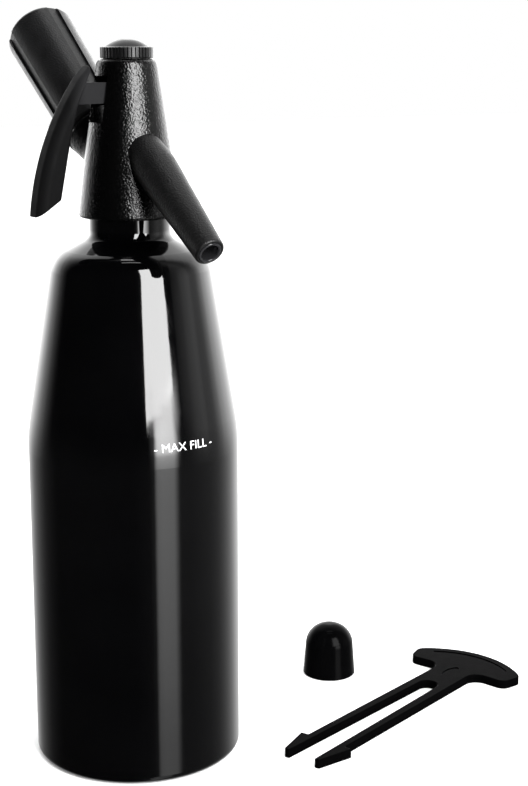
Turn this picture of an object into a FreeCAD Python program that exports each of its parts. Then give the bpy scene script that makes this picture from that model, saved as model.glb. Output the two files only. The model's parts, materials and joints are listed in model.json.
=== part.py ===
# Soda siphon: a lacquered bottle with a screwed head, lever valve, spout and
# charger holder, with its loose dust cap and extractor key beside it.
# Millimetres. The origin is the centre of the bottle's base; +Z is up, the spout
# points along +X, the charger holder along -X and the lever along -Y.
import FreeCAD, Part
import math
import os
import re
import Sketcher
from FreeCAD import Placement, Rotation, Vector

SIZES = [
    # bottle
    ("bottle_radius", 48.5),
    ("bottle_wall", 1.6),
    ("base_corner", 3.5),
    ("base_ring_inset", 7.5),
    ("base_dish_inset", 11.0),
    ("base_dish_depth", 4.5),
    ("cone_start", 155.5),
    ("cone_blend", 90.0),
    ("shoulder_radius", 35.4),
    ("shoulder_height", 236.7),
    ("shoulder_round", 12.0),
    ("neck_radius", 18.3),
    ("neck_root_rise", 8.3),
    ("neck_fillet", 5.0),
    ("neck_length", 19.5),
    # tube set
    ("fill_level", 159.0),
    ("measuring_radius", 9.6),
    ("measuring_wall", 1.1),
    ("measuring_flange_radius", 17.4),
    ("flange_thickness", 1.6),
    ("riser_radius", 3.9),
    ("riser_wall", 0.9),
    ("riser_bottom", 10.5),
    ("foot_thickness", 1.3),
    ("foot_length", 9.0),
    ("foot_slot_width", 1.6),
    ("collar_flange_thickness", 1.4),
    ("collar_length", 6.5),
    ("gas_hole_radius", 1.3),
    ("gas_hole_circle", 6.2),
    ("seal_length", 3.0),
    ("gasket_thickness", 1.8),
    # head casing, with rises above its lower edge
    ("head_skirt", 10.5),
    ("head_height", 69.5),
    ("head_bottom_radius", 22.9),
    ("head_waist_radius", 19.45),
    ("head_waist_rise", 27.0),
    ("head_waist_blend", 900.0),
    ("head_top_radius", 13.2),
    ("head_top_round", 3.0),
    ("head_lip_round", 1.2),
    ("core_radius", 8.3),
    ("slot_width", 12.4),
    ("slot_sill_rise", 42.0),
    ("slot_sill_depth", 12.5),
    ("slot_roof", 7.3),
    ("stem_chamber_radius", 5.0),
    # valve train in the core
    ("socket_radius", 6.2),
    ("socket_depth", 11.6),
    ("riser_passage_radius", 2.4),
    ("seat_radius", 4.6),
    ("seat_rise", 4.0),
    ("seat_thickness", 1.9),
    ("seat_bore_radius", 2.0),
    ("valve_chamber_radius", 5.2),
    ("valve_chamber_length", 14.2),
    ("packing_radius", 3.6),
    ("packing_length", 2.0),
    ("core_roof", 3.8),
    ("stem_radius", 2.0),
    ("stem_nipple_radius", 1.0),
    ("stem_guide_length", 6.45),
    ("stem_collar_radius", 4.4),
    ("stem_collar_thickness", 2.0),
    ("washer_radius", 3.8),
    ("washer_thickness", 2.0),
    ("spring_radius", 3.55),
    ("spring_wire_radius", 0.45),
    ("spring_turns", 5.0),
    # top cap
    ("cap_radius", 11.7),
    ("cap_band_height", 4.6),
    ("cap_shoulder_radius", 9.4),
    ("cap_shoulder_rise", 0.45),
    ("cap_dome_rise", 3.12),
    ("cap_dome_round", 14.0),
    ("cap_plug_radius", 7.9),
    ("cap_plug_length", 5.7),
    ("cap_bore_radius", 4.7),
    ("cap_bore_depth", 10.2),
    ("cap_gap", 0.25),
    ("cap_seal_radius", 10.4),
    ("cap_seal_thickness", 0.9),
    ("knurl_count", 42.0),
    ("knurl_depth", 0.55),
    # lever, in its own side view: distance out from the bottle's axis, and rise or
    # drop from the pivot
    ("pivot_out", 10.0),
    ("pivot_rise", 5.9),
    ("pin_radius", 1.5),
    ("pin_length", 17.4),
    ("blade_width", 13.0),
    ("blade_tip_out", 20.6),
    ("blade_tip_rise", 11.3),
    ("blade_foot_out", 47.3),
    ("blade_foot_drop", 53.0),
    ("blade_elbow_out", 44.2),
    ("blade_elbow_drop", 22.3),
    ("blade_crown_out", 25.0),
    ("blade_crown_rise", 6.0),
    ("blade_elbow_round", 118.0),
    ("blade_crown_round", 16.0),
    ("blade_heel_depth", 11.2),
    ("blade_heel_rise", 7.6),
    ("blade_palm_depth", 13.0),
    ("blade_palm_round", 200.0),
    ("blade_throat_reach", 2.2),
    ("blade_throat_drop", 12.1),
    ("blade_throat_round", 30.0),
    ("blade_back_round", 4.2),
    ("blade_rim_round", 1.4),
    ("blade_tip_length", 13.0),
    ("blade_skin", 2.6),
    ("arm_width", 10.8),
    ("arm_over", 4.1),
    ("arm_under", 5.3),
    ("fork_gap", 5.0),
    ("nose_radius", 1.5),
    ("nose_rise", 1.7),
    # spout, measured along its axis from the bottle's axis
    ("spout_axis_rise", 40.25),
    ("spout_slope", 35.15),
    ("spout_root", 14.2),
    ("spout_end", 86.0),
    ("spout_root_radius", 8.3),
    ("spout_root_round", 5.0),
    ("spout_middle", 30.0),
    ("spout_middle_radius", 9.65),
    ("spout_middle_blend", 60.0),
    ("spout_tip_radius", 6.6),
    ("spout_tip_round", 1.1),
    ("spout_bore_radius", 4.1),
    ("spout_throat_length", 12.0),
    ("spout_passage_radius", 3.0),
    ("insert_length", 11.0),
    ("insert_wall", 1.05),
    ("insert_proud", 0.2),
    ("insert_bevel", 0.35),
    # charger holder, measured along its axis from the bottle's axis
    ("holder_axis_rise", 14.13),
    ("holder_slope", 37.0),
    ("arm_boss_radius", 11.7),
    ("arm_boss_mouth_radius", 14.1),
    ("arm_boss_flare", 26.0),
    ("arm_boss_end", 36.4),
    ("piercer_shank_radius", 8.5),
    ("piercer_root", 20.2),
    ("piercer_thread_radius", 10.6),
    ("piercer_length", 29.2),
    ("piercer_mouth_radius", 7.4),
    ("piercer_floor", 1.6),
    ("pin_hole_radius", 1.05),
    ("needle_radius", 1.0),
    ("needle_bore_radius", 0.4),
    ("needle_length", 12.0),
    ("needle_reach", 1.7),
    ("nose_seal_thickness", 1.75),
    ("gas_channel_radius", 1.2),
    ("charger_radius", 9.3),
    ("charger_length", 66.0),
    ("charger_neck_radius", 4.4),
    ("charger_neck_length", 7.0),
    ("charger_shoulder_length", 10.0),
    ("charger_wall", 1.5),
    ("pierced_hole_radius", 1.2),
    ("cushion_thickness", 2.0),
    ("holder_gap", 0.8),
    ("holder_mouth_radius", 14.65),
    ("holder_end_radius", 16.5),
    ("holder_end_round", 2.6),
    ("holder_end_wall", 3.6),
    ("holder_dome", 0.7),
    ("holder_thread_length", 13.5),
    ("grip_floor_radius", 13.4),
    ("grip_floor_end_radius", 15.1),
    ("grip_width", 5.2),
    ("grip_spread", 49.5),
    ("grip_turn", 137.1),
    # loose dust cap
    ("dust_cap_radius", 13.85),
    ("dust_cap_top_radius", 12.75),
    ("dust_cap_straight", 14.5),
    ("dust_cap_height", 27.3),
    ("dust_cap_round", 12.8),
    ("dust_cap_depth", 20.5),
    ("dust_cap_side", -19.9),
    ("dust_cap_back", 127.0),
    # loose extractor key, in its own plan view: along from the prongs' tips, and across
    ("key_thickness", 4.4),
    ("key_edge_round", 0.5),
    ("key_slot_end", 112.0),
    ("key_slot_half", 5.0),
    ("key_tip_spread", 2.5),
    ("key_prong_width", 3.6),
    ("key_neck_half", 10.2),
    ("key_neck_end", 135.5),
    ("key_barb_back", 19.2),
    ("key_barb_out", 4.0),
    ("key_neck_round", 7.0),
    ("key_wing_half", 32.2),
    ("key_wing_inset", 3.0),
    ("key_wing_far", 146.5),
    ("key_wing_near", 134.5),
    ("key_wing_round", 5.0),
    ("key_crown_radius", 45.0),
    ("key_crown_slope", 38.5),
    ("key_crown_centre", 116.5),
    ("key_groove_radius", 38.1),
    ("key_groove_width", 2.2),
    ("key_groove_half_angle", 35.0),
    ("key_recess_depth", 0.8),
    ("key_oval_along", 128.5),
    ("key_oval_length", 15.0),
    ("key_oval_width", 6.2),
    ("key_side", 63.6),
    ("key_back", 52.0),
    ("key_turn", 107.7),
    # fits
    ("seat_clearance", 0.05),
    ("thread_clearance", 0.15),
    ("slide_clearance", 0.4),
]

doc = FreeCAD.newDocument("soda_siphon")
sheet = doc.addObject("Spreadsheet::Sheet", "Sizes")
for row, (alias, value) in enumerate(SIZES, start=1):
    sheet.set(f"A{row}", alias)
    sheet.set(f"B{row}", str(value))
    sheet.setAlias(f"B{row}", alias)
doc.recompute()
ALIASES = {alias for alias, value in SIZES}
HALF_TURN = 180

# Places that follow from the sizes.
PLACES = {
    # the bottle's base, outwards from its axis
    "base_ring": "bottle_radius - base_ring_inset",
    "base_dish": "base_ring - base_dish_inset",
    # heights above the base
    "neck_root": "shoulder_height + neck_root_rise",
    "neck_top": "neck_root + neck_length",
    "flange_top": "neck_top + flange_thickness",
    "collar_top": "flange_top + collar_flange_thickness",
    "gasket_top": "flange_top + gasket_thickness",
    "socket_top": "gasket_top + socket_depth",
    "riser_top": "socket_top - 1",
    "seat_bottom": "socket_top + seat_rise",
    "seat_top": "seat_bottom + seat_thickness",
    "washer_bottom": "seat_top + seat_clearance",
    "valve_chamber_top": "seat_top + valve_chamber_length",
    "core_top": "valve_chamber_top + core_roof",
    "head_bottom": "neck_top - head_skirt",
    "head_waist": "head_bottom + head_waist_rise",
    "head_top": "head_bottom + head_height",
    "slot_sill": "head_bottom + slot_sill_rise",
    "slot_top": "head_top - slot_roof",
    "spout_axis_height": "head_bottom + spout_axis_rise",
    "holder_axis_height": "head_bottom + holder_axis_rise",
    "pivot_height": "core_top + pivot_rise",
    "nose_height": "pivot_height + nose_rise",
    "arm_top": "pivot_height + arm_over",
    "arm_bottom": "pivot_height - arm_under",
    "stem_collar_bottom": "nose_height + nose_radius + seat_clearance",
    "stem_collar_top": "stem_collar_bottom + stem_collar_thickness",
    "stem_top": "stem_collar_top + stem_guide_length",
    "cap_bottom": "head_top + cap_gap",
    "cap_bore_top": "head_top - cap_plug_length + cap_bore_depth",
    # the lever's side view
    "blade_tip_height": "pivot_height + blade_tip_rise",
    "blade_foot_height": "pivot_height - blade_foot_drop",
    "blade_elbow_height": "pivot_height - blade_elbow_drop",
    "blade_crown_height": "pivot_height + blade_crown_rise",
    "blade_heel_out": "blade_foot_out - blade_heel_depth",
    "blade_heel_height": "blade_foot_height + blade_heel_rise",
    "blade_palm_out": "blade_elbow_out - blade_palm_depth",
    "blade_palm_height": "blade_elbow_height + 1",
    "blade_throat_out": "blade_crown_out + blade_throat_reach",
    "blade_throat_height": "blade_crown_height - blade_throat_drop",
    # along the charger holder's axis
    "piercer_end": "piercer_root + piercer_length",
    "seal_seat": "arm_boss_end + seat_clearance + piercer_floor",
    "charger_nose": "seal_seat + nose_seal_thickness + seat_clearance",
    "charger_neck_end": "charger_nose + charger_neck_length",
    "charger_shoulder_end": "charger_neck_end + charger_shoulder_length",
    "charger_end": "charger_nose + charger_length",
    "cushion_at": "charger_end + seat_clearance * 2",
    "holder_floor": "cushion_at + cushion_thickness + seat_clearance",
    "holder_mouth": "arm_boss_end + holder_gap",
    # radii
    "skirt_bore": "neck_radius + thread_clearance",
    "holder_bore": "charger_radius + slide_clearance",
}


def in_sheet(text):
    """Write each size or place in a formula in terms of the sheet's cells."""
    return re.sub(r"[a-z][a-z_]+", lambda word: swap_name(word.group()), text)


def swap_name(word):
    if word in PLACES:
        return f"({in_sheet(PLACES[word])})"
    return "Sizes." + word if word in ALIASES else word


def size(text):
    """The present value of a formula in the sheet's names."""
    return float(sheet.evalExpression(in_sheet(text)))


def bind(thing, cells):
    """Tie properties of an object to formulas in the sheet's names."""
    for prop, text in cells.items():
        thing.setExpression(prop, in_sheet(text))
    return thing


# ---------------------------------------------------------------- sketches

def new_body(label):
    body = doc.addObject("PartDesign::Body", label)
    body.Label = label
    return body


def new_sketch(body, role, height="0"):
    """A sketch on one of the body's own origin planes, moved along its normal."""
    planes = {feature.Role: feature for feature in body.Origin.OriginFeatures}
    sketch = body.newObject("Sketcher::SketchObject", body.Name + "_sketch")
    sketch.AttachmentSupport = [(planes[role], "")]
    sketch.MapMode = "FlatFace"
    if height != "0":
        bind(sketch, {"AttachmentOffset.Base.z": height})
    return sketch


def hold_point(sketch, item, end, across, up):
    """Fix a point of the sketch at a formula across and up from the origin."""
    for kind, text, axis in (("DistanceX", across, -2), ("DistanceY", up, -1)):
        if text == "0":
            sketch.addConstraint(Sketcher.Constraint("PointOnObject", item, end, axis))
        else:
            rule = Sketcher.Constraint(kind, -1, 1, item, end, size(text))
            bind(sketch, {f"Constraints[{sketch.addConstraint(rule)}]": text})


def hold_radius(sketch, item, text):
    index = sketch.addConstraint(Sketcher.Constraint("Radius", item, size(text)))
    bind(sketch, {f"Constraints[{index}]": text})


def outline(sketch, corners, closed=True):
    """Draw lines through corners (across, up) or (across, up, round)."""
    points = [Vector(size(c[0]), size(c[1]), 0) for c in corners]
    rounds = [size(c[2]) if len(c) > 2 else 0 for c in corners]
    count = len(corners)
    entry, leave, turns = [], [], []
    for i in range(count):
        before = (points[i - 1] - points[i]).normalize()
        after = (points[(i + 1) % count] - points[i]).normalize()
        reach = rounds[i] / math.tan(before.getAngle(after) / 2) if rounds[i] else 0
        entry.append(points[i] + before * reach)
        leave.append(points[i] + after * reach)
        turns.append(before.cross(after).z)
    lines = []
    for i in range(count if closed else count - 1):
        line = Part.LineSegment(leave[i], entry[(i + 1) % count])
        lines.append(sketch.addGeometry(line, False))
    for i, corner in enumerate(corners):
        if rounds[i]:
            round_corner(sketch, corner, lines[i - 1], lines[i], points[i], entry[i], leave[i], turns[i] < 0)
        elif i < len(lines):
            if closed or i:
                sketch.addConstraint(Sketcher.Constraint("Coincident", lines[i - 1], 2, lines[i], 1))
            hold_point(sketch, lines[i], 1, corner[0], corner[1])
        else:
            hold_point(sketch, lines[-1], 2, corner[0], corner[1])


def round_corner(sketch, corner, line_in, line_out, point, entry, leave, left_turn):
    """Join two lines by a tangent arc that stays tied to their corner point."""
    mark = sketch.addGeometry(Part.Point(point), True)
    hold_point(sketch, mark, 1, corner[0], corner[1])
    for line in (line_in, line_out):
        sketch.addConstraint(Sketcher.Constraint("PointOnObject", mark, 1, line))
    middle = (entry + leave) * 0.5
    outward = (point - middle).normalize()
    half_chord = (entry - leave).Length / 2
    radius = size(corner[2])
    rise = radius - math.sqrt(max(radius * radius - half_chord * half_chord, 0))
    arc = sketch.addGeometry(Part.Arc(entry, middle + outward * rise, leave), False)
    first, last = (1, 2) if left_turn else (2, 1)
    sketch.addConstraint(Sketcher.Constraint("Tangent", line_in, 2, arc, first))
    sketch.addConstraint(Sketcher.Constraint("Tangent", arc, last, line_out, 1))
    hold_radius(sketch, arc, corner[2])


def circle(sketch, across, up, radius):
    ring = Part.Circle(Vector(size(across), size(up), 0), Vector(0, 0, 1), size(radius))
    item = sketch.addGeometry(ring, False)
    hold_point(sketch, item, 3, across, up)
    hold_radius(sketch, item, radius)


# ---------------------------------------------------------------- features

def spin(body, corners):
    """Revolve an outline of (radius, height) corners about the body's Z axis."""
    sketch = new_sketch(body, "XZ_Plane")
    outline(sketch, corners)
    turn = body.newObject("PartDesign::Revolution", body.Name + "_spin")
    turn.Profile = sketch
    turn.ReferenceAxis = (sketch, ["V_Axis"])
    turn.Angle = 360
    doc.recompute()
    return body


def revolved(label, corners):
    return spin(new_body(label), corners)


def ring(label, inner, outer, bottom, top):
    """A plain ring or tube."""
    return revolved(label, [(inner, bottom), (outer, bottom), (outer, top), (inner, top)])


def extrude(body, kind, sketch, length, symmetric=False, reverse=False):
    """Pad or pocket a sketch by a formula's length."""
    feature = body.newObject("PartDesign::" + kind, f"{body.Name}_{kind.lower()}")
    feature.Profile = sketch
    if symmetric:
        feature.SideType = "Symmetric"
    feature.Reversed = reverse
    bind(feature, {"Length": length})
    doc.recompute()
    return feature


def ring_pattern(body, feature, count):
    """Repeat a feature round the body's Z axis."""
    pattern = body.newObject("PartDesign::PolarPattern", body.Name + "_pattern")
    pattern.Originals = [feature]
    axes = {item.Role: item for item in body.Origin.OriginFeatures}
    pattern.Axis = (axes["Z_Axis"], [""])
    pattern.Angle = 360
    bind(pattern, {"Occurrences": count})
    body.Tip = pattern
    doc.recompute()
    return pattern


def dress(body, kind, edges, amount):
    """Round or bevel the named edges of the body's last feature."""
    base = body.Tip
    feature = body.newObject("PartDesign::" + kind, f"{body.Name}_{kind.lower()}")
    feature.Base = (base, edges)
    bind(feature, {"Radius" if kind == "Fillet" else "Size": amount})
    body.Tip = feature
    doc.recompute()
    return feature


def edges_where(body, wanted):
    """Names of the edges of the body's last feature whose middle passes a test."""
    names = []
    for number, edge in enumerate(body.Tip.Shape.Edges, start=1):
        middle = edge.valueAt((edge.FirstParameter + edge.LastParameter) / 2)
        if wanted(edge, middle):
            names.append(f"Edge{number}")
    return names


def primitive(kind, label, cells):
    made = doc.addObject("Part::" + kind, label)
    made.Label = label
    return bind(made, cells)


def joined(label, pieces):
    made = doc.addObject("Part::MultiFuse", label)
    made.Label = label
    made.Shapes = pieces
    doc.recompute()
    return made


def cut(label, base, tools):
    """Cut one or more tools out of a base."""
    made = doc.addObject("Part::Cut", label)
    made.Label = label
    made.Base = base
    made.Tool = tools[0] if len(tools) == 1 else joined(label + "_tools", tools)
    doc.recompute()
    return made


def on_spout_axis(made):
    """Stand a piece that was drawn along +Z on the spout's axis."""
    made.Placement = Placement(Vector(0, 0, 0), Rotation(Vector(0, 1, 0), 90))
    return bind(made, {
        "Placement.Base.z": "spout_axis_height",
        "Placement.Rotation.Angle": "90 + spout_slope",
    })


def on_holder_axis(made):
    """Stand a piece that was drawn along +Z on the charger holder's axis."""
    made.Placement = Placement(Vector(0, 0, 0), Rotation(Vector(0, -1, 0), 45))
    return bind(made, {
        "Placement.Base.z": "holder_axis_height",
        "Placement.Rotation.Angle": "90 - holder_slope",
    })


# ---------------------------------------------------------------- bottle

def make_bottle():
    """A thin metal bottle: cylinder, long cone, round shoulder and threaded neck."""
    inner_neck = "neck_radius - bottle_wall"
    return revolved("bottle", [
        ("0", "base_dish_depth"),
        ("base_dish", "base_dish_depth", "base_dish / 2"),
        ("base_ring", "0"),
        ("bottle_radius", "0", "base_corner"),
        ("bottle_radius", "cone_start", "cone_blend"),
        ("shoulder_radius", "shoulder_height", "shoulder_round"),
        ("neck_radius", "neck_root", "neck_fillet"),
        ("neck_radius", "neck_top"),
        (inner_neck, "neck_top"),
        (inner_neck, "neck_root - bottle_wall * 0.6", "neck_fillet + bottle_wall"),
        ("shoulder_radius - bottle_wall * 1.2", "shoulder_height - bottle_wall * 1.1",
         "shoulder_round - bottle_wall"),
        ("bottle_radius - bottle_wall", "cone_start", "cone_blend - bottle_wall"),
        ("bottle_radius - bottle_wall", "bottle_wall", "base_corner - bottle_wall"),
        ("base_ring", "bottle_wall"),
        ("base_dish", "base_dish_depth + bottle_wall", "base_dish / 2"),
        ("0", "base_dish_depth + bottle_wall"),
    ])


# ---------------------------------------------------------------- tube set

def make_measuring_tube():
    """The tube that hangs in the neck down to the fill level, by its flange."""
    inside = "measuring_radius - measuring_wall"
    return revolved("measuring_tube", [
        (inside, "fill_level"),
        ("measuring_radius", "fill_level"),
        ("measuring_radius", "neck_top"),
        ("measuring_flange_radius", "neck_top"),
        ("measuring_flange_radius", "flange_top"),
        (inside, "flange_top"),
    ])


def make_riser_collar():
    """The bush that hangs the riser tube in the measuring tube, with gas holes."""
    hub = "measuring_radius - measuring_wall - seat_clearance"
    body = revolved("riser_collar", [
        ("riser_radius", "flange_top - collar_length"),
        (hub, "flange_top - collar_length"),
        (hub, "flange_top"),
        ("measuring_radius", "flange_top"),
        ("measuring_radius", "collar_top"),
        ("riser_radius", "collar_top"),
    ])
    sketch = new_sketch(body, "XY_Plane", "collar_top")
    circle(sketch, "gas_hole_circle", "0", "gas_hole_radius")
    hole = extrude(body, "Pocket", sketch, "collar_length + collar_flange_thickness + 1")
    ring_pattern(body, hole, "4")
    return body


def make_tube_foot():
    """The slotted sleeve on the riser's bottom end, which draws the last of the water."""
    body = ring("tube_foot", "riser_radius", "riser_radius + foot_thickness",
                "riser_bottom - 2", "riser_bottom - 2 + foot_length")
    sketch = new_sketch(body, "XY_Plane", "riser_bottom - 2")
    half = "foot_slot_width / 2"
    reach = "riser_radius + foot_thickness + 1"
    outline(sketch, [("0", f"-{half}"), (reach, f"-{half}"), (reach, half), ("0", half)])
    slot = extrude(body, "Pocket", sketch, "1.8", reverse=True)
    ring_pattern(body, slot, "4")
    return body


def make_tube_set():
    return [
        make_measuring_tube(),
        make_riser_collar(),
        make_tube_foot(),
        ring("riser_tube", "riser_radius - riser_wall", "riser_radius", "riser_bottom", "riser_top"),
        ring("riser_seal", "riser_radius", "socket_radius - seat_clearance", "riser_top - seal_length",
             "riser_top"),
        ring("head_gasket", "measuring_radius + slide_clearance", "neck_radius - seat_clearance",
             "flange_top", "gasket_top"),
    ]


# ---------------------------------------------------------------- head casing

def make_head_shell():
    """The moulded casing: a tapered cap with an arm for the charger and a lever slot."""
    cone = revolved("head_cone", [
        ("0", "head_bottom"),
        ("head_bottom_radius", "head_bottom", "head_lip_round"),
        ("head_waist_radius", "head_waist", "head_waist_blend"),
        ("head_top_radius", "head_top", "head_top_round"),
        ("0", "head_top"),
    ])
    arm = on_holder_axis(revolved("head_arm", [
        ("0", "0"),
        ("arm_boss_radius", "0"),
        ("arm_boss_radius", "arm_boss_flare", "16"),
        ("arm_boss_mouth_radius", "arm_boss_end", "0.6"),
        ("0", "arm_boss_end"),
    ]))
    hollow = revolved("head_hollow", [
        ("0", "head_bottom - 9"),
        ("skirt_bore", "head_bottom - 9"),
        ("skirt_bore", "gasket_top"),
        ("core_radius + seat_clearance", "gasket_top"),
        ("core_radius + seat_clearance", "core_top"),
        ("stem_chamber_radius", "core_top"),
        ("stem_chamber_radius", "slot_top"),
        ("cap_plug_radius + thread_clearance", "slot_top"),
        ("cap_plug_radius + thread_clearance", "head_top + 1"),
        ("0", "head_top + 1"),
    ])
    slot = primitive("Box", "head_slot", {
        "Length": "slot_width", "Width": "head_bottom_radius + nose_radius + 1",
        "Height": "slot_top - core_top", "Placement.Base.x": "-slot_width / 2",
        "Placement.Base.y": "-head_bottom_radius", "Placement.Base.z": "core_top"})
    sill = primitive("Box", "head_sill", {
        "Length": "slot_width", "Width": "head_bottom_radius - slot_sill_depth",
        "Height": "core_top - slot_sill + 1", "Placement.Base.x": "-slot_width / 2",
        "Placement.Base.y": "-head_bottom_radius", "Placement.Base.z": "slot_sill"})
    pin_hole = primitive("Cylinder", "head_pin_hole", {
        "Radius": "pin_radius + seat_clearance / 2", "Height": "pin_length"})
    pin_hole.Placement = Placement(Vector(0, 0, 0), Rotation(Vector(0, 1, 0), 90))
    bind(pin_hole, {"Placement.Base.x": "-pin_length / 2", "Placement.Base.y": "-pivot_out",
                    "Placement.Base.z": "pivot_height"})
    socket = on_spout_axis(revolved("head_spout_socket", [
        ("0", "spout_root - seat_clearance"),
        ("spout_root_radius + seat_clearance", "spout_root - seat_clearance",
         "spout_root_round + seat_clearance"),
        ("spout_middle_radius + seat_clearance", "spout_middle", "spout_middle_blend"),
        ("spout_tip_radius + seat_clearance", "spout_end"),
        ("0", "spout_end"),
    ]))
    passage = on_spout_axis(primitive("Cylinder", "head_spout_passage", {
        "Radius": "spout_passage_radius", "Height": "spout_root + 1"}))
    shank_bore = on_holder_axis(revolved("head_shank_bore", [
        ("0", "piercer_root - seat_clearance"),
        ("piercer_shank_radius + seat_clearance", "piercer_root - seat_clearance"),
        ("piercer_shank_radius + seat_clearance", "arm_boss_end + 1"),
        ("0", "arm_boss_end + 1"),
    ]))
    gas_hole = on_holder_axis(primitive("Cylinder", "head_gas_hole", {
        "Radius": "gas_channel_radius", "Height": "piercer_root + 1"}))
    return cut("head_shell", joined("head_solid", [cone, arm]), [
        hollow, slot, sill, pin_hole, socket, passage, shank_bore, gas_hole])


def make_head_core():
    """The turned core: riser socket, valve seat, valve chamber and stem packing."""
    blank = revolved("core_blank", [
        ("socket_radius", "gasket_top"),
        ("core_radius", "gasket_top"),
        ("core_radius", "core_top"),
        ("packing_radius", "core_top"),
        ("packing_radius", "core_top - packing_length - 0.4"),
        ("stem_radius + seat_clearance", "core_top - packing_length - 0.4"),
        ("stem_radius + seat_clearance", "valve_chamber_top"),
        ("valve_chamber_radius", "valve_chamber_top"),
        ("valve_chamber_radius", "seat_top"),
        ("seat_radius", "seat_top"),
        ("seat_radius", "seat_bottom"),
        ("riser_passage_radius", "seat_bottom"),
        ("riser_passage_radius", "socket_top"),
        ("socket_radius", "socket_top"),
    ])
    passage = on_spout_axis(primitive("Cylinder", "core_spout_passage", {
        "Radius": "spout_passage_radius", "Height": "spout_root"}))
    gas_hole = on_holder_axis(primitive("Cylinder", "core_gas_hole", {
        "Radius": "gas_channel_radius", "Height": "piercer_root"}))
    return cut("head_core", blank, [passage, gas_hole])


def make_lever_pin():
    pin = primitive("Cylinder", "lever_pin", {"Radius": "pin_radius", "Height": "pin_length"})
    pin.Placement = Placement(Vector(0, 0, 0), Rotation(Vector(0, 1, 0), 90))
    return bind(pin, {"Placement.Base.x": "-pin_length / 2", "Placement.Base.y": "-pivot_out",
                      "Placement.Base.z": "pivot_height"})


# ---------------------------------------------------------------- spout

def make_spout():
    """A tapered moulded tube with a rounded root that seats in the casing."""
    bore = "spout_bore_radius"
    seat = "spout_bore_radius + insert_wall + seat_clearance"
    return on_spout_axis(revolved("spout", [
        ("spout_passage_radius", "spout_root"),
        ("spout_root_radius", "spout_root", "spout_root_round"),
        ("spout_middle_radius", "spout_middle", "spout_middle_blend"),
        ("spout_tip_radius", "spout_end", "spout_tip_round"),
        (f"{seat} + insert_bevel", "spout_end"),
        (seat, "spout_end - insert_bevel"),
        (seat, "spout_end - insert_length"),
        (bore, "spout_end - insert_length"),
        (bore, "spout_root + spout_throat_length"),
        ("spout_passage_radius", "spout_root + spout_throat_length"),
    ]))


def make_nozzle_insert():
    """The smooth liner pressed into the spout's tip."""
    outer = "spout_bore_radius + insert_wall"
    top = "spout_end + insert_proud"
    return on_spout_axis(revolved("nozzle_insert", [
        ("spout_bore_radius", "spout_end - insert_length + seat_clearance"),
        (outer, "spout_end - insert_length + seat_clearance"),
        (outer, top, "insert_bevel"),
        ("spout_bore_radius", top, "insert_bevel"),
    ]))


# ---------------------------------------------------------------- charger side

def make_piercer_body():
    """The threaded boss that the holder screws on, with the charger's neck seat."""
    mouth = "charger_neck_radius + slide_clearance / 2"
    return on_holder_axis(revolved("piercer_body", [
        ("pin_hole_radius", "piercer_root"),
        ("piercer_shank_radius", "piercer_root"),
        ("piercer_shank_radius", "arm_boss_end"),
        ("piercer_thread_radius", "arm_boss_end"),
        ("piercer_thread_radius", "piercer_end"),
        ("piercer_mouth_radius", "piercer_end"),
        (mouth, "piercer_end - 3"),
        (mouth, "seal_seat"),
        ("pin_hole_radius", "seal_seat"),
    ]))


def make_piercing_needle():
    """A hollow needle whose point stands in the charger's pierced nose."""
    tip = "charger_nose + needle_reach"
    return on_holder_axis(revolved("piercing_needle", [
        ("needle_bore_radius", f"{tip} - needle_length"),
        ("needle_radius", f"{tip} - needle_length"),
        ("needle_radius", f"{tip} - 1.4"),
        ("needle_bore_radius", tip),
    ]))


def make_charger():
    """A small steel gas cylinder with a slim neck and a round base."""
    inner = "charger_radius - charger_wall"
    inner_neck = "charger_neck_radius - charger_wall"
    return on_holder_axis(revolved("gas_charger", [
        ("pierced_hole_radius", "charger_nose"),
        ("charger_neck_radius", "charger_nose", "0.6"),
        ("charger_neck_radius", "charger_neck_end", "3"),
        ("charger_radius", "charger_shoulder_end", "charger_radius"),
        ("charger_radius", "charger_end", "charger_radius * 0.75"),
        ("0", "charger_end"),
        ("0", "charger_end - charger_wall"),
        (inner, "charger_end - charger_wall", "charger_radius * 0.6"),
        (inner, "charger_shoulder_end + charger_wall / 2", "charger_radius"),
        (inner_neck, "charger_neck_end + charger_wall / 2"),
        (inner_neck, "charger_nose + charger_wall"),
        ("pierced_hole_radius", "charger_nose + charger_wall"),
    ]))


def turned(out, side, angle):
    """A point of a cross-section, turned about the centre."""
    return (f"({out}) * cos({angle}) - ({side}) * sin({angle})",
            f"({out}) * sin({angle}) + ({side}) * cos({angle})")


def groove_section(body, floor, angle, height):
    """The cross-section of a grip groove, open outwards with sloping sides."""
    outer = "holder_end_radius + 2"
    half = "grip_width / 2"
    sketch = new_sketch(body, "XY_Plane", height)
    outline(sketch, [
        turned(floor, f"-{half}", angle),
        turned(outer, f"-{half} - 0.9", angle),
        turned(outer, f"{half} + 0.9", angle),
        turned(floor, half, angle),
    ])
    return sketch


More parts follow.
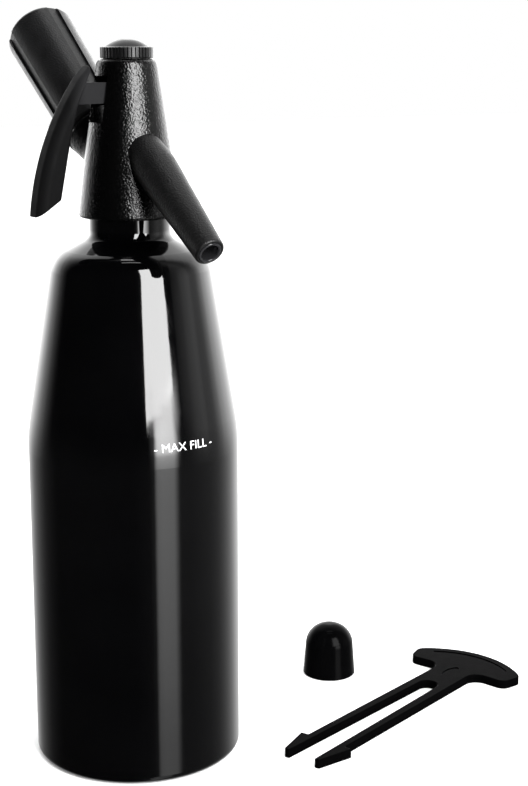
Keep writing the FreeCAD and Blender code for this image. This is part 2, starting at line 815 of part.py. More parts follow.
def make_holder():
    """The long grip cap over the charger, with four grooves along it."""
    end = "holder_floor + holder_end_wall"
    body = revolved("charger_holder", [
        ("piercer_thread_radius + thread_clearance", "holder_mouth"),
        ("holder_mouth_radius", "holder_mouth", "1.3"),
        ("holder_end_radius", end, "holder_end_round"),
        ("0", f"{end} + holder_dome"),
        ("0", "holder_floor"),
        ("holder_bore", "holder_floor"),
        ("holder_bore", "holder_mouth + holder_thread_length"),
        ("piercer_thread_radius + thread_clearance", "holder_mouth + holder_thread_length"),
    ])
    for side, base in ((-1, 0), (1, 0), (-1, HALF_TURN), (1, HALF_TURN)):
        angle = f"grip_turn + {base} + {side} * grip_spread"
        groove = body.newObject("PartDesign::SubtractiveLoft", "grip_groove")
        groove.Profile = groove_section(body, "grip_floor_radius", angle, "holder_mouth - 1")
        groove.Sections = [groove_section(body, "grip_floor_end_radius", angle, f"{end} + 2")]
        body.Tip = groove
        doc.recompute()
    return on_holder_axis(body)


def make_charger_side():
    return [
        make_piercer_body(),
        make_piercing_needle(),
        on_holder_axis(ring("nose_seal", "pin_hole_radius + seat_clearance",
                            "charger_neck_radius + slide_clearance / 2 - seat_clearance",
                            "seal_seat", "seal_seat + nose_seal_thickness")),
        make_charger(),
        on_holder_axis(revolved("holder_cushion", [
            ("0", "cushion_at"),
            ("holder_bore - seat_clearance", "cushion_at"),
            ("holder_bore - seat_clearance", "cushion_at + cushion_thickness"),
            ("0", "cushion_at + cushion_thickness"),
        ])),
        make_holder(),
    ]


# ---------------------------------------------------------------- valve

def make_valve_stem():
    stem_foot = "washer_bottom + washer_thickness"
    return revolved("valve_stem", [
        ("0", "washer_bottom"),
        ("stem_nipple_radius", "washer_bottom"),
        ("stem_nipple_radius", stem_foot),
        ("stem_radius", stem_foot),
        ("stem_radius", "stem_collar_bottom"),
        ("stem_collar_radius", "stem_collar_bottom"),
        ("stem_collar_radius", "stem_collar_top"),
        ("stem_radius", "stem_collar_top"),
        ("stem_radius", "stem_top", "0.6"),
        ("0", "stem_top"),
    ])


def make_valve_spring():
    """A compression spring between the stem's collar and the top cap."""
    wire = size("spring_wire_radius")
    low = size("stem_collar_top + seat_clearance") + wire
    high = size("cap_bore_top") - wire - size("seat_clearance")
    radius = size("spring_radius")
    helix = Part.makeHelix((high - low) / size("spring_turns"), high - low, radius)
    helix.translate(Vector(0, 0, low))
    start = helix.Edges[0].valueAt(helix.Edges[0].FirstParameter)
    along = helix.Edges[0].tangentAt(helix.Edges[0].FirstParameter)
    section = Part.Wire([Part.makeCircle(wire, start, along)])
    made = doc.addObject("Part::Feature", "valve_spring")
    made.Label = "valve_spring"
    made.Shape = Part.Wire(helix.Edges).makePipeShell([section], True, True)
    return made


def make_top_cap():
    """The knurled screw cap that closes the head and holds the spring."""
    shoulder_top = "cap_bottom + cap_band_height + cap_shoulder_rise"
    body = revolved("top_cap", [
        ("cap_bore_radius", "head_top - cap_plug_length"),
        ("cap_plug_radius", "head_top - cap_plug_length"),
        ("cap_plug_radius", "head_top + cap_seal_thickness"),
        ("cap_seal_radius + 0.2", "head_top + cap_seal_thickness"),
        ("cap_seal_radius + 0.2", "cap_bottom"),
        ("cap_radius", "cap_bottom", "0.4"),
        ("cap_radius", "cap_bottom + cap_band_height"),
        ("cap_shoulder_radius", shoulder_top),
        ("cap_shoulder_radius * 0.55", f"{shoulder_top} + cap_dome_rise", "cap_dome_round"),
        ("0", f"{shoulder_top} + cap_dome_rise"),
        ("0", "cap_bore_top"),
        ("cap_bore_radius", "cap_bore_top"),
    ])
    sketch = new_sketch(body, "XY_Plane", "cap_bottom - 1")
    wide = "cap_radius * sin(180 / knurl_count) * 0.9"
    outline(sketch, [
        ("cap_radius - knurl_depth", "0"),
        ("cap_radius + 1", f"-{wide}"),
        ("cap_radius + 1", wide),
    ])
    notch = extrude(body, "Pocket", sketch, "cap_band_height + 2", reverse=True)
    ring_pattern(body, notch, "knurl_count")
    return body


def make_valve():
    return [
        ring("valve_seat", "seat_bore_radius", "seat_radius - seat_clearance",
             "seat_bottom", "seat_top"),
        ring("stem_packing", "stem_radius + seat_clearance", "packing_radius - seat_clearance",
             "core_top - packing_length - 0.2", "core_top - 0.2"),
        make_valve_stem(),
        ring("valve_washer", "stem_nipple_radius", "washer_radius", "washer_bottom",
             "washer_bottom + washer_thickness"),
        make_valve_spring(),
        ring("cap_seal", "cap_plug_radius + thread_clearance", "cap_seal_radius",
             "head_top", "head_top + cap_seal_thickness - seat_clearance"),
        make_top_cap(),
    ]


# ---------------------------------------------------------------- lever

def beyond(near, far, share="0.5"):
    """A formula for the point past `near` on the line that comes from `far`."""
    return f"{near} + ({near} - {far}) * {share}"


def swept_bar(label, start, curve, deep, corner):
    """A bar swept along a curve of the side view, rounded on the curve's own side."""
    body = new_body(label)
    path = new_sketch(body, "XZ_Plane")
    outline(path, [start] + curve, closed=False)
    section = new_sketch(body, "XY_Plane", start[1])
    half = "blade_width / 2"
    outline(section, [
        (f"{start[0]} + {deep}", f"-{half}"),
        (start[0], f"-{half}", corner),
        (start[0], half, corner),
        (f"{start[0]} + {deep}", half),
    ])
    bar = body.newObject("PartDesign::AdditivePipe", label + "_sweep")
    bar.Profile = section
    bar.Spine = path
    doc.recompute()
    return body


def side_pad(label, corners, width):
    """A slab of a given width, drawn in the lever's side view."""
    body = new_body(label)
    sketch = new_sketch(body, "XZ_Plane")
    outline(sketch, corners)
    extrude(body, "Pad", sketch, width, symmetric=True)
    return body


def make_blade():
    """The blade: where a round-backed bar and a round-fronted bar overlap, trimmed."""
    back = swept_bar("blade_back", ("blade_foot_out + 0.5", "blade_foot_height - 3.6"), [
        ("blade_elbow_out", "blade_elbow_height", "blade_elbow_round"),
        ("blade_crown_out", "blade_crown_height", "blade_crown_round"),
        ("blade_tip_out - 4", "blade_tip_height + 3.5"),
    ], "-14.5", "blade_back_round")
    front = swept_bar("blade_front", (beyond("blade_heel_out", "blade_palm_out"),
                                      beyond("blade_heel_height", "blade_palm_height")), [
        ("blade_palm_out", "blade_palm_height", "blade_palm_round"),
        ("blade_throat_out", "blade_throat_height", "blade_throat_round"),
        (beyond("blade_tip_out", "blade_throat_out"),
         beyond("blade_tip_height - 2.2", "blade_throat_height")),
    ], "16", "blade_rim_round")
    made = doc.addObject("Part::Common", "blade_bars")
    made.Base = back
    made.Tool = front
    doc.recompute()
    foot = side_pad("below_foot", [
        (beyond("blade_heel_out", "blade_foot_out"), beyond("blade_heel_height", "blade_foot_height")),
        ("blade_heel_out / 2", "blade_foot_height - 14"),
        ("blade_foot_out + 8", "blade_foot_height - 14"),
        (beyond("blade_foot_out", "blade_heel_out"), beyond("blade_foot_height", "blade_heel_height")),
    ], "blade_width * 2")
    beside_tip = new_body("beside_tip")
    half = "blade_width / 2"
    low = "blade_tip_height - blade_tip_length"
    high = "blade_tip_height + 9"
    sketch = new_sketch(beside_tip, "YZ_Plane")
    outline(sketch, [
        (f"-{half} - 4", low),
        (f"-{half} - 0.1", low),
        (f"-{half} + 0.6", "blade_tip_height", f"{half} * 0.85"),
        (f"{half} - 0.6", "blade_tip_height", f"{half} * 0.85"),
        (f"{half} + 0.1", low),
        (f"{half} + 4", low),
        (f"{half} + 4", high),
        (f"-{half} - 4", high),
    ])
    extrude(beside_tip, "Pad", sketch, "blade_foot_out * 2", symmetric=True)
    skin = "blade_skin * 1.6"
    channel = side_pad("blade_channel", [
        ("blade_palm_out - 12", "arm_bottom - blade_skin * 2"),
        ("blade_elbow_out - 13.6", "arm_bottom - blade_skin * 2"),
        (f"blade_elbow_out - {skin} - 3.2", "blade_elbow_height - 1.5", "60"),
        (f"blade_foot_out - {skin} - 2", "blade_heel_height + blade_skin / 2"),
        ("blade_heel_out - 3", "blade_heel_height + blade_skin"),
    ], "blade_width - blade_skin * 2")
    return cut("blade", made, [foot, beside_tip, channel])


def make_lever():
    """The sickle lever: a hollow-fronted blade, an arm into the head and a fork."""
    nose = "nose_radius * 0.97"
    arm = side_pad("lever_arm", [
        ("blade_palm_out - 1.5", "arm_bottom"),
        ("pivot_out", "arm_bottom + 0.5", "4"),
        ("-nose_radius", "nose_height - nose_radius", nose),
        ("-nose_radius", "nose_height + nose_radius", nose),
        ("pivot_out / 2", "nose_height + nose_radius"),
        ("pivot_out", "arm_top", "2"),
        ("blade_palm_out - 6.5", "arm_top", "0.6"),
    ], "arm_width")
    fork_slot = side_pad("fork_slot", [
        ("-nose_radius - 2", "arm_bottom - 1"),
        ("pivot_out / 2", "arm_bottom - 1"),
        ("pivot_out / 2", "arm_top + 1"),
        ("-nose_radius - 2", "arm_top + 1"),
    ], "fork_gap")
    hole = primitive("Cylinder", "lever_hole", {
        "Radius": "pin_radius + seat_clearance", "Height": "blade_width",
        "Placement.Base.x": "pivot_out", "Placement.Base.y": "blade_width / 2",
        "Placement.Base.z": "pivot_height"})
    hole.Placement = Placement(hole.Placement.Base, Rotation(Vector(1, 0, 0), 90))
    lever = cut("lever", joined("lever_solid", [make_blade(), arm]), [fork_slot, hole])
    lever.Placement = Placement(Vector(0, 0, 0), Rotation(Vector(0, 0, -1), 90))
    return lever


# ---------------------------------------------------------------- loose pieces

def make_dust_cap():
    """The soft domed cap for the piercer's boss, standing on its open end."""
    bore = "piercer_thread_radius + slide_clearance / 2"
    cap = revolved("dust_cap", [
        (bore, "0"),
        ("dust_cap_radius", "0", "0.5"),
        ("dust_cap_top_radius", "dust_cap_straight", "40"),
        ("dust_cap_top_radius * 0.93", "dust_cap_height", "dust_cap_round * 0.88"),
        ("0", "dust_cap_height"),
        ("0", "dust_cap_depth"),
        (bore, "dust_cap_depth", "3"),
    ])
    return bind(cap, {"Placement.Base.x": "dust_cap_side", "Placement.Base.y": "dust_cap_back"})


def mirrored(corners):
    """Add the corners' mirror images below the sketch's own axis, in loop order."""
    flipped = [(c[0], f"-({c[1]})") + c[2:] for c in reversed(corners) if c[1] != "0"]
    return corners + flipped


def curved_slot(sketch, centre, radius, width, half_angle):
    """A slot along an arc about a point on the sketch's X axis, with round ends."""
    middle = Vector(size(centre), 0, 0)
    reach = size(radius)
    half = size(width) / 2
    swing = math.radians(size(half_angle))
    normal = Vector(0, 0, 1)
    arcs = []
    for r in (reach + half, reach - half):
        bow = Part.ArcOfCircle(Part.Circle(middle, normal, r), -swing, swing)
        arcs.append(sketch.addGeometry(bow, False))
    for sign in (1, -1):
        hub = middle + Vector(math.cos(swing), sign * math.sin(swing), 0) * reach
        first = sign * swing if sign > 0 else math.pi - swing
        end = Part.ArcOfCircle(Part.Circle(hub, normal, half), first, first + math.pi)
        arcs.append(sketch.addGeometry(end, False))
    outer, inner, upper, lower = arcs
    for item in (outer, inner):
        hold_point(sketch, item, 3, centre, "0")
    hold_radius(sketch, outer, f"{radius} + {width} / 2")
    hold_radius(sketch, inner, f"{radius} - {width} / 2")
    for one, one_end, two, two_end in ((outer, 2, upper, 1), (inner, 2, upper, 2),
                                       (outer, 1, lower, 2), (inner, 1, lower, 1)):
        sketch.addConstraint(Sketcher.Constraint("Tangent", one, one_end, two, two_end))
    for item, sign in ((upper, ""), (lower, "-")):
        text = f"{sign}{radius} * sin({half_angle})"
        rule = Sketcher.Constraint("DistanceY", -1, 1, item, 3, size(text))
        bind(sketch, {f"Constraints[{sketch.addConstraint(rule)}]": text})


def ellipse(sketch, along, length, width):
    """An ellipse on the sketch's X axis, held by its length and width."""
    middle = Vector(size(along), 0, 0)
    shape = Part.Ellipse(middle, size(length) / 2, size(width) / 2)
    item = sketch.addGeometry(shape, False)
    sketch.exposeInternalGeometry(item)
    hold_point(sketch, item, 3, along, "0")
    hold_point(sketch, item + 1, 2, f"{along} + {length} / 2", "0")
    rule = Sketcher.Constraint("DistanceY", -1, 1, item + 2, 2, size(width) / 2)
    bind(sketch, {f"Constraints[{sketch.addConstraint(rule)}]": f"{width} / 2"})


CROWN_CORNER = "key_crown_radius / cos(key_crown_slope)"


def make_extractor_key():
    """The flat plastic key: two barbed prongs, a neck and a crescent handle."""
    body = new_body("extractor_key")
    plan = new_sketch(body, "XY_Plane")
    tip = "key_slot_half + key_tip_spread"
    prong = f"{tip} + key_prong_width"
    outline(plan, mirrored([
        ("key_slot_end", "key_slot_half", "key_slot_half * 0.97"),
        ("0", tip, "0.6"),
        ("0", f"{prong} - 0.8", "1.1"),
        ("key_barb_back", f"{prong} + key_barb_out", "0.4"),
        ("key_barb_back + 0.3", prong, "0.5"),
        ("key_neck_end", "key_neck_half", "key_neck_round"),
        ("key_wing_near", "key_wing_half - key_wing_inset", "key_wing_round"),
        ("key_wing_far", "key_wing_half", "key_wing_round"),
        (f"key_crown_centre + {CROWN_CORNER}", "0", "key_crown_radius"),
    ]))
    extrude(body, "Pad", plan, "key_thickness")
    thick = size("key_thickness")
    rim = edges_where(body, lambda edge, middle: abs(middle.z - thick) < 0.01)
    dress(body, "Fillet", rim, "key_edge_round")
    groove = new_sketch(body, "XY_Plane", "key_thickness")
    curved_slot(groove, "key_crown_centre", "key_groove_radius", "key_groove_width", "key_groove_half_angle")
    extrude(body, "Pocket", groove, "key_recess_depth")
    oval = new_sketch(body, "XY_Plane", "key_thickness")
    ellipse(oval, "key_oval_along", "key_oval_length", "key_oval_width")
    extrude(body, "Pocket", oval, "key_recess_depth")
    body.Placement = Placement(Vector(0, 0, 0), Rotation(Vector(0, 0, 1), 90))
    return bind(body, {
        "Placement.Base.x": "key_side",
        "Placement.Base.y": "key_back",
        "Placement.Rotation.Angle": "key_turn",
    })


# ---------------------------------------------------------------- build

def build():
    nodes = [make_bottle()]
    nodes += make_tube_set()
    nodes += [make_head_shell(), make_head_core(), make_lever_pin(), make_spout(), make_nozzle_insert()]
    nodes += make_charger_side()
    nodes += make_valve()
    nodes += [make_lever(), make_dust_cap(), make_extractor_key()]
    return nodes


def check(nodes):
    """Stop if any object failed or any node's shape is missing or faulty."""
    doc.recompute()
    for thing in doc.Objects:
        if "Invalid" in thing.State or "Error" in thing.State:
            raise RuntimeError(f"{thing.Label} did not build: {thing.State}")
    for node in nodes:
        if node.Shape.isNull() or not node.Shape.isValid():
            raise RuntimeError(f"{node.Label} has no valid shape")


def export(nodes):
    os.makedirs("parts", exist_ok=True)
    for node in nodes:
        node.Shape.exportStep(f"parts/{node.Label}.step")
        box = node.Shape.BoundBox
        print(f"{node.Label}: {node.Shape.Volume:.1f} mm3, z {box.ZMin:.1f} to {box.ZMax:.1f}")


siphon = build()
check(siphon)
export(siphon)
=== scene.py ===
import json
import math
import bpy
from mathutils import Euler, Matrix, Vector


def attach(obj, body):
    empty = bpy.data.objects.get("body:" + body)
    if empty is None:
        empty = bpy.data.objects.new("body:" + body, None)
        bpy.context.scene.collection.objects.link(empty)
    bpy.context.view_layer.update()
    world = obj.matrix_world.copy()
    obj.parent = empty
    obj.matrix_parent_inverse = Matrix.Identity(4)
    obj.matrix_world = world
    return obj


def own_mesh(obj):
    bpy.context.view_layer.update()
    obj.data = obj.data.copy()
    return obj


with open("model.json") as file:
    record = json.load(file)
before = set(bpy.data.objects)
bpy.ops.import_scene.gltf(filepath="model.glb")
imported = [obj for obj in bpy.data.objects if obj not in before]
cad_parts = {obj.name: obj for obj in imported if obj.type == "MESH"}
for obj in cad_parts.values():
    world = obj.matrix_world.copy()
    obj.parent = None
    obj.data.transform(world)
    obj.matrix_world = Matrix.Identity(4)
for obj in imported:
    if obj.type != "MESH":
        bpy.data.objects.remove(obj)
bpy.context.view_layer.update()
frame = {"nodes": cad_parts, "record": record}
scene = bpy.context.scene
scene.view_settings.view_transform = "Standard"
scene.view_settings.look = "None"


# ---------------------------------------------------------------- node helpers

# Noise stays mostly within these values, and colour patches change over the narrower span.
NOISE_SPREAD = (0.3, 0.7)
PATCH_SPREAD = (0.35, 0.65)

# Places of the sockets of a Mix node for colours.
MIX_FACTOR, MIX_FIRST, MIX_SECOND, MIX_RESULT = 0, 6, 7, 2


class Tree:
    """A node tree with short ways to add and join nodes."""

    def __init__(self, tree):
        self.tree = tree

    def node(self, kind, inputs=None, **settings):
        """Add a node, with its inputs joined to sockets or set to values."""
        made = self.tree.nodes.new("ShaderNode" + kind)
        for name, value in settings.items():
            setattr(made, name, value)
        for place, value in (inputs or {}).items():
            if isinstance(value, bpy.types.NodeSocket):
                self.tree.links.new(value, made.inputs[place])
            else:
                made.inputs[place].default_value = value
        return made

    def span(self, value, low, high, to_low=0.0, to_high=1.0):
        """Carry a value from one span of numbers to another, stopping at the ends."""
        inputs = {"Value": value, "From Min": low, "From Max": high,
                  "To Min": to_low, "To Max": to_high}
        return self.node("MapRange", inputs).outputs["Result"]

    def mix(self, factor, first, second, how="MIX"):
        inputs = {MIX_FACTOR: factor, MIX_FIRST: first, MIX_SECOND: second}
        made = self.node("Mix", inputs, data_type="RGBA", blend_type=how)
        return made.outputs[MIX_RESULT]

    def steps(self, value, start, end, levels):
        """Brightness that follows a value, by (value, brightness) pairs."""
        ramp = self.node("ValToRGB", {"Fac": self.span(value, start, end)})
        points = ramp.color_ramp.elements
        while len(points) < len(levels):
            points.new(0.5)
        for point, (place, _) in zip(points, levels):
            point.position = (place - start) / (end - start)
        for point, (_, level) in zip(points, levels):
            point.color = (level, level, level, 1)
        return ramp.outputs["Color"]


class Finish(Tree):
    """A procedural material: roughness, colour and bump for one Principled shader."""

    def __init__(self, name, **values):
        self.material = bpy.data.materials.new(name)
        self.material.use_nodes = True
        super().__init__(self.material.node_tree)
        self.shader = self.tree.nodes["Principled BSDF"]
        for socket, value in values.items():
            self.shader.inputs[socket.replace("_", " ")].default_value = value
        self.place = None

    def here(self):
        """Object coordinates: metres in the object's own frame."""
        if self.place is None:
            self.place = self.node("TexCoord").outputs["Object"]
        return self.place

    def noise(self, scale, detail, stretch=None):
        place = self.here()
        if stretch:
            place = self.node("Mapping", {"Vector": place, "Scale": stretch}).outputs["Vector"]
        inputs = {"Vector": place, "Scale": scale, "Detail": detail}
        return self.node("TexNoise", inputs).outputs["Fac"]

    def patches(self, scale, detail, spread=NOISE_SPREAD):
        """A value from 0 to 1 in soft patches."""
        return self.span(self.noise(scale, detail), *spread)

    def cells(self, scale):
        inputs = {"Vector": self.here(), "Scale": scale}
        return self.node("TexVoronoi", inputs, feature="SMOOTH_F1").outputs["Distance"]

    def bump(self, height, distance, strength=1.0):
        """Bump by a height in metres, over any bump that is there already."""
        made = self.node("Bump", {"Height": height, "Distance": distance, "Strength": strength})
        normal = self.shader.inputs["Normal"]
        if normal.is_linked:
            self.tree.links.new(normal.links[0].from_socket, made.inputs["Normal"])
        self.tree.links.new(made.outputs["Normal"], normal)

    def rough(self, pattern, low, high):
        """Roughness that drifts between two values."""
        value = self.span(pattern, *NOISE_SPREAD, low, high)
        self.tree.links.new(value, self.shader.inputs["Roughness"])

    def colour(self, factor, first, second):
        """Colour that runs from the first to the second as the factor goes from 0 to 1."""
        shade = self.mix(factor, (*first, 1), (*second, 1))
        self.tree.links.new(shade, self.shader.inputs["Base Color"])


# ---------------------------------------------------------------- materials

# The refractive index of lacquer and plastics.
GLOSS_INDEX = 1.5


def lacquer():
    look = Finish("lacquer", IOR=GLOSS_INDEX)
    look.rough(look.noise(60, 3), 0.045, 0.075)
    look.colour(look.patches(30, 2), (0.0003, 0.0003, 0.0004), (0.0006, 0.0006, 0.0007))
    look.bump(look.noise(90, 2), 0.00002)
    return look.material


def print_white():
    look = Finish("print_white", IOR=GLOSS_INDEX)
    look.rough(look.noise(700, 2), 0.35, 0.5)
    look.colour(look.patches(900, 2), (0.55, 0.55, 0.56), (0.75, 0.75, 0.76))
    look.bump(look.noise(1500, 2), 0.00001)
    return look.material


def pebbled_moulding():
    look = Finish("pebbled_moulding", IOR=GLOSS_INDEX, Specular_IOR_Level=0.4)
    cell = look.cells(1300)
    look.bump(cell, 0.00022, 0.9)
    look.bump(look.noise(2300, 1), 0.00006)
    look.rough(look.noise(900, 2), 0.17, 0.25)
    # Painted shade: the colour follows the bump's height, darker in the pebbles' hollows and
    # lighter on their ridges.
    pebble_painted_shade = look.span(cell, 0.1, 0.7)
    look.colour(pebble_painted_shade, (0.0002, 0.0002, 0.0002), (0.0005, 0.0005, 0.0005))
    return look.material


def moulding(name, colour, low, high, grain, scale, level):
    """Smooth plastic or rubber, its roughness from low to high, with a fine grain."""
    look = Finish(name, IOR=GLOSS_INDEX, Specular_IOR_Level=level)
    look.rough(look.noise(220, 3), low, high)
    look.bump(look.noise(scale, 2), grain)
    darker = [c * 0.75 for c in colour]
    look.colour(look.patches(55, 3, PATCH_SPREAD), darker, colour)
    return look.material


def lever_moulding():
    """Matt moulding, with painted light on the bar between the blade and the head: its colour is
    paler there, standing in for the light that bar catches.
    """
    painted_light_start, painted_light_full = -0.031, -0.023
    look = Finish("lever_moulding", IOR=GLOSS_INDEX, Specular_IOR_Level=0.02)
    look.rough(look.noise(220, 3), 0.5, 0.6)
    look.bump(look.noise(1600, 2), 0.00003)
    y = look.node("SeparateXYZ", {"Vector": look.here()}).outputs["Y"]
    # Painted light: the colour turns paler along Y towards the head, where the bar between blade
    # and head catches more light.
    arm_painted_light = look.span(y, painted_light_start, painted_light_full)
    look.colour(arm_painted_light, (0.0027, 0.0027, 0.0028), (0.0105, 0.0105, 0.011))
    return look.material


def metal(name, colour, low, high):
    """Turned or drawn metal, its roughness from low to high in fine lines."""
    look = Finish(name, Metallic=1.0)
    lines = look.noise(160, 3, stretch=(1, 1, 25))
    look.rough(lines, low, high)
    look.bump(lines, 0.000008)
    darker = [c * 0.85 for c in colour]
    look.colour(look.patches(70, 3, PATCH_SPREAD), darker, colour)
    return look.material


# Colour, roughness from and to, height and scale of the grain, and specular level.
MOULDINGS = {
    "satin_moulding": ((0.0022, 0.0022, 0.0024), 0.3, 0.38, 0.00012, 1300, 0.45),
    "spout_moulding": ((0.002, 0.002, 0.0021), 0.36, 0.46, 0.0003, 1300, 0.35),
    "cap_moulding": ((0.002, 0.002, 0.0022), 0.3, 0.38, 0.000012, 2600, 0.4),
    "dust_cap_moulding": ((0.0009, 0.0009, 0.001), 0.12, 0.18, 0.000012, 2600, 0.024),
    "key_moulding": ((0.001, 0.001, 0.0011), 0.3, 0.4, 0.00006, 1500, 0.003),
    "clear_liner": ((0.012, 0.012, 0.013), 0.12, 0.2, 0.000012, 2600, 0.5),
    "white_tube": ((0.72, 0.74, 0.72), 0.3, 0.4, 0.000012, 2600, 0.5),
    "rubber": ((0.012, 0.012, 0.012), 0.5, 0.65, 0.00003, 2600, 0.5),
}
# Colour, and roughness from and to.
METALS = {
    "brass": ((0.78, 0.57, 0.27), 0.18, 0.32),
    "steel": ((0.60, 0.61, 0.63), 0.18, 0.3),
    "charger_steel": ((0.70, 0.71, 0.73), 0.16, 0.28),
}
looks = {"lacquer": lacquer(), "pebbled_moulding": pebbled_moulding()}
looks.update({name: moulding(name, *values) for name, values in MOULDINGS.items()})
looks.update({name: metal(name, *values) for name, values in METALS.items()})
finishes = {part["node"]: looks[part["material_slot"]] for part in frame["record"]["subparts"]}
finishes["lever"] = lever_moulding()
for name, thing in frame["nodes"].items():
    thing.data.materials.clear()
    thing.data.materials.append(finishes[name])


# ---------------------------------------------------------------- valve spring

# The spring gets its own copy of its mesh; nothing here shortens it. On the real siphon it shortens
# between the stem's collar and the cap as the lever is pressed: its top stays where the cap holds
# it, and its foot rises with the stem.
spring = frame["nodes"]["valve_spring"]
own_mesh(spring)


# ---------------------------------------------------------------- printed fill mark

def heading_vector(turn):
    """The level unit vector at a heading in radians from +X."""
    return Vector((math.cos(turn), math.sin(turn), 0))


def wrap(mesh, carrier, height, width, tall):
    """Fit flat lettering to a round body's +X side, with its middle at a height."""
    outside, ink_lift = 0.2, 0.00006
    across = [v.co.x for v in mesh.vertices]
    up = [v.co.y for v in mesh.vertices]
    left, right, bottom, top = min(across), max(across), min(up), max(up)
    for v in mesh.vertices:
        side = (v.co.x - (left + right) / 2) * width / (right - left)
        z = height + (v.co.y - (bottom + top) / 2) * tall / (top - bottom)
        found = carrier.ray_cast(Vector((outside, 0, z)), Vector((-1, 0, 0)))[1]
        radius = math.hypot(found.x, found.y)
        v.co = heading_vector(side / radius) * (radius + ink_lift) + Vector((0, 0, z))


draft = bpy.data.curves.new("fill_mark", "FONT")
draft.body = "- MAX FILL -"
draft.align_x = "CENTER"
draft.resolution_u = 6
writing = bpy.data.objects.new("fill_mark", draft)
scene.collection.objects.link(writing)
bpy.context.view_layer.update()
lettering = bpy.data.meshes.new_from_object(writing)
bpy.data.objects.remove(writing)
wrap(lettering, frame["nodes"]["bottle"], height=0.1574, width=0.0294, tall=0.0037)
fill_mark = bpy.data.objects.new("fill_mark", lettering)
scene.collection.objects.link(fill_mark)
ink = fill_mark.modifiers.new("print", "SOLIDIFY")
ink.thickness = 0.00004
ink.offset = 0
lettering.materials.clear()
lettering.materials.append(print_white())
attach(fill_mark, "bottle")


# ---------------------------------------------------------------- studio lights

# The bottle in the photograph doesn't mirror the two loose pieces.
for name in ("dust_cap", "extractor_key"):
    frame["nodes"][name].visible_glossy = False


def area_light(name, place, turn, width, height, radiance):
    """A soft light in metres whose whole face has the same radiance."""
    light = bpy.data.lights.new(name, "AREA")
    light.shape = "RECTANGLE"
    light.size = width
    light.size_y = height
    light.energy = radiance * math.pi * width * height
    thing = bpy.data.objects.new(name, light)
    scene.collection.objects.link(thing)
    thing.location = place
    thing.rotation_mode = "QUATERNION"
    thing.rotation_quaternion = turn
    thing.visible_camera = False


# An upright soft box on the spout's side, 4 m away.
BOX_DISTANCE, BOX_FOOT, BOX_TOP = 4.0, 0.51, 4.7
box_way = heading_vector(math.radians(2.2))
area_light("key_softbox", box_way * BOX_DISTANCE + Vector((0, 0, (BOX_FOOT + BOX_TOP) / 2)),
           box_way.to_track_quat("Z", "Y"), width=2.32, height=BOX_TOP - BOX_FOOT, radiance=18.6)

# Two thin bars overhead, level with each other and square to the viewer.
viewer = math.radians(-31)
bar_turn = Euler((0, 0, viewer + math.pi / 2)).to_quaternion()
bar_middle = heading_vector(viewer + math.pi / 2) * 0.12 + Vector((0, 0, 1.735))
for name, nearer, depth in (("ceiling_bar_far", -0.225, 0.15), ("ceiling_bar_middle", 0.18, 0.075)):
    area_light(name, bar_middle + heading_vector(viewer) * nearer, bar_turn,
               width=0.6, height=depth, radiance=4.5)

overhead = bpy.data.lights.new("overhead", "SUN")
overhead.energy = 3.6
overhead.angle = math.radians(120)
sun = bpy.data.objects.new("overhead", overhead)
sun.visible_glossy = False
scene.collection.objects.link(sun)


# ---------------------------------------------------------------- floor

FLOOR_REACH, FLOOR_DROP = 6, 0.0002
corners = [(x * FLOOR_REACH, y * FLOOR_REACH, 0) for x, y in ((-1, -1), (1, -1), (1, 1), (-1, 1))]
floor_mesh = bpy.data.meshes.new("floor")
floor_mesh.from_pydata(corners, [], [(0, 1, 2, 3)])
floor = bpy.data.objects.new("floor", floor_mesh)
scene.collection.objects.link(floor)
floor.location.z = -FLOOR_DROP
floor.visible_glossy = False
paper = Finish("paper", Base_Color=(0.92, 0.92, 0.92, 1), Roughness=0.9, Specular_IOR_Level=0.0)
floor_mesh.materials.append(paper.material)


# ---------------------------------------------------------------- studio surroundings

# Brightness by heading, in degrees from +X, for directions that look down and up.
ROOM_BELOW = [
    (-180, 0.72), (-165, 0.40), (-152, 0.22), (-143, 0.11), (-133, 0.06), (-122, 0.028),
    (-30, 0.025), (-10, 0.06), (22, 0.14), (35, 0.13), (50, 0.17), (62, 0.2), (69, 0.25),
    (76, 0.31), (84, 0.45), (93, 0.65), (103, 0.9), (117, 1.28), (140, 1.15), (180, 0.72)]
ROOM_ABOVE = [
    (-180, 4.2), (-172, 3.7), (-165, 2.9), (-160, 2.2), (-153, 1.35), (-148, 0.95),
    (-143, 0.5), (-138, 0.25), (-134, 0.1), (-129, 0.01), (22, 0.01), (26, 0.1), (34, 0.12),
    (41, 0.45), (46, 0.68), (50, 0.8), (57, 0.98), (60, 0.93), (64, 0.7), (71, 0.68),
    (75, 0.78), (81, 1.4), (85, 1.85), (90, 2.8), (95, 3.1), (101, 3.5), (140, 3.4),
    (165, 3.8), (180, 4.2)]
# The upper room grows darker towards the ceiling, by the direction's Z.
CEILING = [(-1, 1), (0.17, 1), (0.45, 0.62), (0.56, 0.45), (0.78, 0.4), (0.94, 0.2), (1, 0.06)]
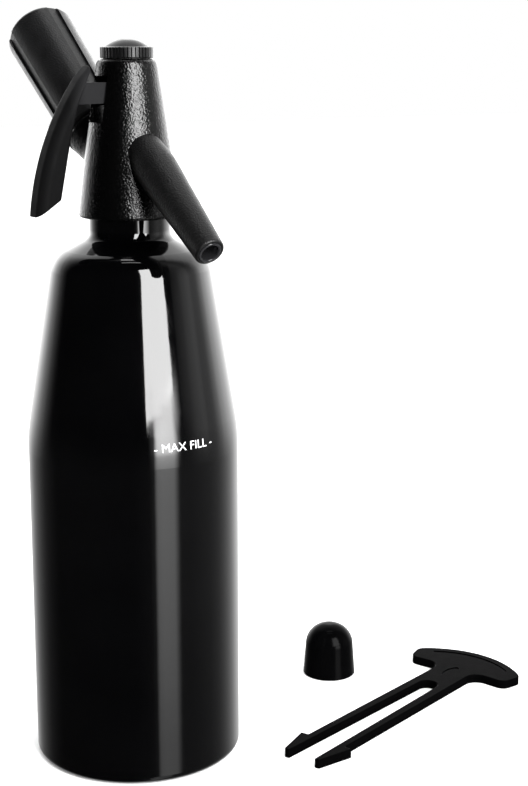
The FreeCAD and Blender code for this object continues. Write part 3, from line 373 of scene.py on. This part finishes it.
# The soft box's glow on the table in front of it, by heading and by the direction's Z.
GLOW_ACROSS = [(-180, 0), (-12, 0), (-7, 0.05), (-3.5, 0.9), (2, 1), (8, 0.97), (15, 0.9),
               (18, 0.5), (22, 0), (180, 0)]
GLOW_UP = [(-0.6, 0.6), (-0.42, 1.3), (-0.38, 1.8), (-0.3, 2.45), (-0.265, 2.7), (-0.22, 4.6),
           (-0.14, 7.3), (-0.09, 15), (0.08, 17), (0.088, 0)]

world = bpy.data.worlds.new("studio")
scene.world = world
world.use_nodes = True
sky = Tree(world.node_tree)
toward = sky.node("SeparateXYZ", {0: sky.node("TexCoord").outputs["Generated"]}).outputs
radians_round = sky.node("Math", {0: toward["Y"], 1: toward["X"]}, operation="ARCTAN2").outputs[0]
heading = sky.node("Math", {0: radians_round, 1: 180 / math.pi}, operation="MULTIPLY").outputs[0]


def round_the_room(levels):
    return sky.steps(heading, -180, 180, levels)


def up_the_wall(start, end, levels):
    return sky.steps(toward["Z"], start, end, levels)


table_fade = sky.span(toward["Z"], -0.45, -0.27, 0.7, 1.25)
below = sky.mix(1.0, round_the_room(ROOM_BELOW), table_fade, "MULTIPLY")
above = sky.mix(1.0, round_the_room(ROOM_ABOVE), up_the_wall(-1, 1, CEILING), "MULTIPLY")
room = sky.mix(sky.span(toward["Z"], -0.26, 0.06), below, above)
glow = sky.mix(1.0, round_the_room(GLOW_ACROSS), up_the_wall(-0.6, 0.2, GLOW_UP), "MULTIPLY")
surroundings = sky.mix(1.0, room, glow, "ADD")
# The camera itself sees a plain white backdrop.
seen = sky.node("LightPath").outputs["Is Camera Ray"]
backdrop = sky.mix(seen, surroundings, (1, 1, 1, 1))
sky.tree.links.new(backdrop, sky.tree.nodes["Background"].inputs["Color"])


# ---------------------------------------------------------------- camera

PICTURE_HEIGHT, FOCAL_PIXELS, SENSOR = 786, 1550, 36
eye = Vector((0.6201, -0.3304, 0.3250))
forward = Vector((-0.8194, 0.5321, -0.2130))
right = Vector((0.5446, 0.8387, 0.0))
up = right.cross(forward)
lens = bpy.data.cameras.new("camera")
lens.sensor_width = SENSOR
lens.lens = FOCAL_PIXELS / PICTURE_HEIGHT * SENSOR
lens.clip_start = 0.01
lens.clip_end = 50
camera = bpy.data.objects.new("camera", lens)
scene.collection.objects.link(camera)
camera.matrix_world = Matrix.Translation(eye) @ Matrix((right, up, -forward)).transposed().to_4x4()
scene.camera = camera
